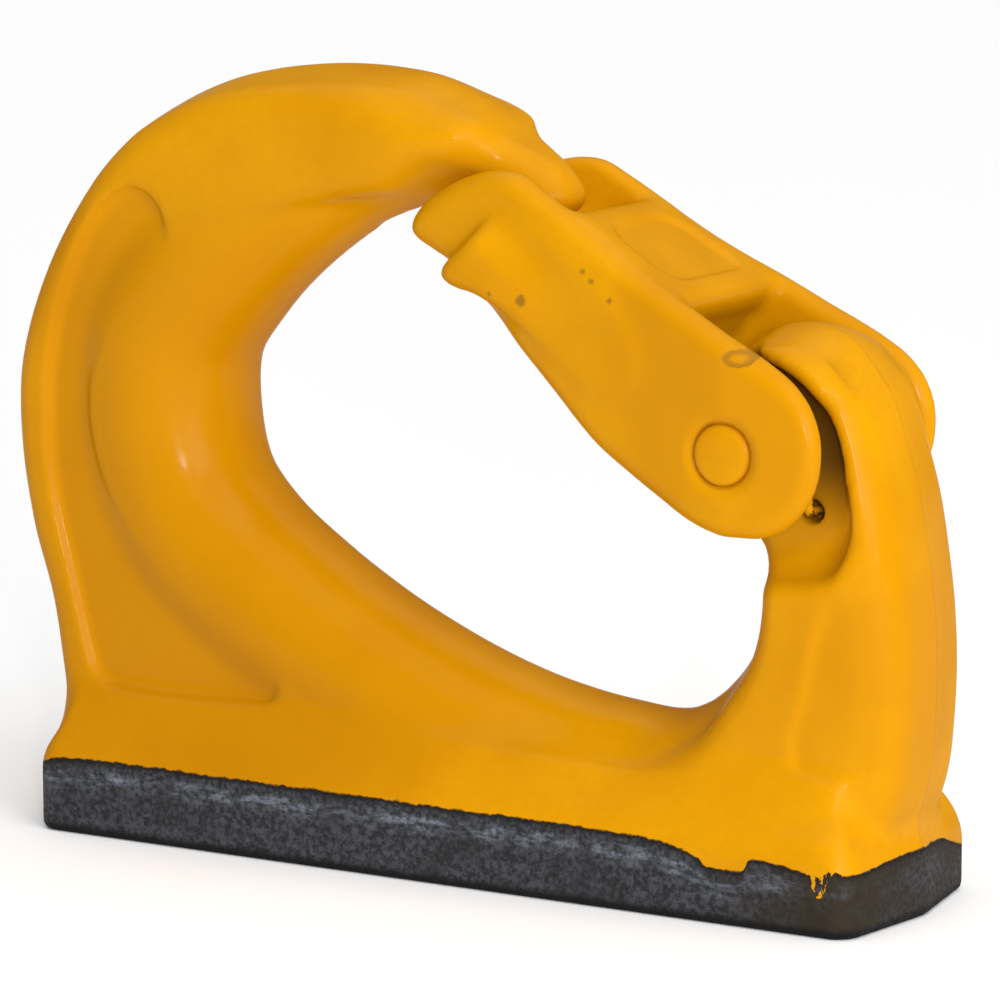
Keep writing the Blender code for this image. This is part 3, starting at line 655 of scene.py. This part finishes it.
def hook_material():
    """Enamel down to a ragged edge on the foot, and bare forged steel below it.

    Painted shade darkens the hinge's pockets and the left side of the bowl, and the paint has a faint seam on
    the parting line.
    """
    nodes = Nodes("hook_enamel_and_steel")
    colour, roughness, height = enamel(nodes, 0.03)

    above = nodes.math("SUBTRACT", nodes.z, paint_edge(nodes))
    ragged = nodes.span(nodes.noise(0.8, 3.0, 0.6, (1.0, 1.0, 0.4)), 0.36, 0.6)
    run = nodes.span(nodes.distance(nodes.x, RUN_X), 2.1, 0.2, 0.0, RUN_LENGTH)
    painted = nodes.span(nodes.plus(above, ragged, run), -0.12, 0.12)

    # Painted shade: deep in the hinge's pockets round the pin, behind the latch's cheeks, the enamel is
    # darkened, most towards the top.
    away = nodes.plus(nodes.off_spot(PIN_X - 0.5, PIN_Z), 1.2, nodes.noise(3.0, 3.0))
    pocket_shade = nodes.product(
        nodes.span(away, 17.0, 14.6), nodes.span(nodes.distance(nodes.y), 8.7, 7.6),
        nodes.span(nodes.z, 49.0, 61.0, 0.2, 1.0), nodes.span(nodes.z, 73.6, 71.6),
    )
    colour = nodes.mix(nodes.product(pocket_shade, 0.9), colour, POCKET_SHADE)

    seam_off = nodes.math("ABSOLUTE", nodes.plus(nodes.y, 0.5, nodes.noise(14.0)))
    seam = nodes.product(
        nodes.span(seam_off, 0.55, 0.1), nodes.span(nodes.noise(8.0, 3.0), 0.3, 0.55, 0.2, 1.0),
        nodes.span(nodes.distance(nodes.x), 46.0, 54.0),
    )
    colour = nodes.mix(nodes.product(seam, 0.3), colour, PAINT_SEAM_AND_SHADE)
    height = nodes.plus(height, 0.05, seam)
    # Painted shade: the lower left of the hook is darkened, as if the light fell off away from the right.
    left_side_shade = nodes.product(
        nodes.span(nodes.x, 8.0, -25.0), nodes.span(nodes.x, -69.0, -60.0), nodes.span(nodes.z, 96.0, 78.0),
    )
    colour = nodes.mix(nodes.product(left_side_shade, 0.6), colour, PAINT_SEAM_AND_SHADE)

    steel, mottle = bare_steel(nodes, above)
    return nodes.finish(
        nodes.mix(painted, steel, colour),
        nodes.blend(painted, nodes.span(mottle, 0.3, 0.7, 0.62, 0.46), roughness),
        nodes.blend(painted, nodes.product(mottle, 0.22), nodes.math("ADD", height, PAINT_THICKNESS)),
        nodes.span(painted, 0.0, 1.0, 0.35, 0.0),
    )


def enamel_material(name, chip_share, chips=(), worn_oval=None):
    """Enamel with chips and a worn oval on the front, and painted shade in the ring round the pin."""
    nodes = Nodes(name)
    colour, roughness, height = enamel(nodes, chip_share)
    ragged = nodes.noise(0.7, 3.0, 0.7)
    front = nodes.span(nodes.y, 0.5, -0.5)
    for x, z, radius in chips:
        off = nodes.plus(nodes.off_spot(x, z), 0.9, ragged)
        chip = nodes.product(nodes.span(off, radius + 0.7, radius + 0.1), front)
        colour = nodes.mix(nodes.product(chip, 0.6), colour, CHIP_COLOUR)
        height = nodes.plus(height, -0.06, chip)
    if worn_oval:
        x, z, half = worn_oval
        off = nodes.plus(nodes.off_spot(x, z, half, half * 0.5), 0.5, ragged)
        edge = nodes.product(nodes.span(off, 1.5, 1.1), nodes.span(off, 0.6, 1.1, 0.2, 1.0), front)
        colour = nodes.mix(nodes.product(edge, 0.45), colour, CHIP_COLOUR)
        height = nodes.plus(height, -0.2, edge)
    # Painted shade in the sunk ring round the pin.
    ring = nodes.span(nodes.distance(nodes.off_spot(PIN_X, PIN_Z), PIN_RADIUS + 0.15), 0.6, 0.1)
    colour = nodes.mix(nodes.product(ring, 0.6), colour, RING_SHADE)
    return nodes.finish(colour, roughness, height)


def spring_material():
    """Painted spring wire, worn through to the dark steel here and there."""
    nodes = Nodes("painted_spring_wire")
    colour, roughness, height = enamel(nodes, 0.02)
    worn = nodes.span(nodes.noise(1.6, 4.0, 0.7), 0.5, 0.6)
    return nodes.finish(
        nodes.mix(worn, colour, WORN_WIRE), nodes.blend(worn, roughness, 0.5),
        nodes.plus(height, -0.05, worn), nodes.product(worn, 0.6),
    )


# ---------------------------------------------------------------- build

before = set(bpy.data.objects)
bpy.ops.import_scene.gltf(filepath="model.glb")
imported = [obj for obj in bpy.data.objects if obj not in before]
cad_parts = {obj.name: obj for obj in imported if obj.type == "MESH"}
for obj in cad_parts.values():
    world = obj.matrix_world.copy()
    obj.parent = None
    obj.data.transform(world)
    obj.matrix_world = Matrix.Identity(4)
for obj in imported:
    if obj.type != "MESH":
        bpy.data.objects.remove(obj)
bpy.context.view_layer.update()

hook_grid = Grid((-76.0, -20.0, -2.5), (72.0, 20.0, 110.0), HOOK_STEP)
hook = field_mesh("forged_hook", hook_field(hook_grid), hook_grid)
latch_grid = Grid((-8.0, -21.5, 47.0), (62.0, 21.5, 98.0), LATCH_STEP)
latch = field_mesh("forged_latch", latch_field(latch_grid), latch_grid)
pin = pin_mesh("domed_hinge_pin")
for piece, body, node, slot, material in (
    (hook, "hook", "hook_body", "hook_paint", hook_material()),
    (latch, "latch", "latch", "latch_paint", enamel_material("latch_enamel", 0.06, LATCH_CHIPS, WORN_OVAL)),
    (pin, "latch", "hinge_pin", "pin_paint", enamel_material("pin_enamel", 0.05)),
):
    piece.data.materials.append(material)
    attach(piece, body)
    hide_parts(node)

wire_look = spring_material()
for end, side in (("front", -1), ("rear", 1)):
    spring = wire_mesh(f"torsion_spring_{end}", spring_line(side))
    spring.data.materials.append(wire_look)
    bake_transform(spring)
    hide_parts(f"latch_spring_{end}")


# ---------------------------------------------------------------- studio

def aim(light, direction):
    """Turns a light to shine this way."""
    light.rotation_euler = direction.to_track_quat("-Z", "Y").to_euler()


def area_light(name, location, target, size, power):
    """A rectangular light of this size and power, aimed at the target."""
    data = bpy.data.lights.new(name, "AREA")
    data.shape = "RECTANGLE"
    data.size, data.size_y = size
    data.energy = power
    light = place(name, data)
    light.location = location
    aim(light, Vector(target) - Vector(location))


def distant_light(name, towards, strength, spread):
    """A soft light the same all over the set, from this direction, spread over this many degrees."""
    data = bpy.data.lights.new(name, "SUN")
    data.energy = strength
    data.angle = math.radians(spread)
    aim(place(name, data), -Vector(towards))


forward = Vector((
    -math.sin(CAMERA_YAW) * math.cos(CAMERA_PITCH), math.cos(CAMERA_YAW) * math.cos(CAMERA_PITCH),
    -math.sin(CAMERA_PITCH),
))
right = Vector((math.cos(CAMERA_YAW), math.sin(CAMERA_YAW), 0.0))
up = right.cross(forward)
turned_right = right * math.cos(CAMERA_ROLL) + up * math.sin(CAMERA_ROLL)
turned_up = up * math.cos(CAMERA_ROLL) - right * math.sin(CAMERA_ROLL)
camera_data = bpy.data.cameras.new("camera")
camera_data.sensor_width = CAMERA_SENSOR
camera_data.lens = CAMERA_LENS
camera = place("camera", camera_data)
turn = Matrix((turned_right, turned_up, -forward)).transposed().to_4x4()
camera.matrix_world = Matrix.Translation(CAMERA_PLACE) @ turn
bpy.context.scene.camera = camera

world = bpy.data.worlds.new("studio")
bpy.context.scene.world = world
world.use_nodes = True
background = world.node_tree.nodes["Background"]
background.inputs["Color"].default_value = (1.0, 1.0, 1.0, 1.0)
background.inputs["Strength"].default_value = WORLD_STRENGTH

distant_light("softbox_right", (0.75, -0.45, 0.6), 1.45, 60.0)
distant_light("softbox_overhead", (0.0, 0.05, 1.0), 1.2, 80.0)
area_light("fill_right", (0.36, -0.26, 0.16), (0.04, 0.0, 0.04), (0.2, 0.2), 0.6)
area_light("window", (0.46, -0.66, 0.2), (0.0, 0.0, 0.05), (0.03, 0.09), 1.6)

floor_mesh = bpy.data.meshes.new("floor")
floor_shape = bmesh.new()
bmesh.ops.create_grid(floor_shape, x_segments=1, y_segments=1, size=FLOOR_HALF)
floor_shape.to_mesh(floor_mesh)
floor_shape.free()
floor = place("floor", floor_mesh)
floor_material = bpy.data.materials.new("floor")
floor_material.use_nodes = True
floor_shader = floor_material.node_tree.nodes["Principled BSDF"]
floor_shader.inputs["Base Color"].default_value = (0.98, 0.98, 0.98, 1.0)
floor_shader.inputs["Roughness"].default_value = 0.9
floor_shader.inputs["Specular IOR Level"].default_value = 0.1
floor_mesh.materials.append(floor_material)
bpy.context.scene.view_settings.view_transform = "Standard"
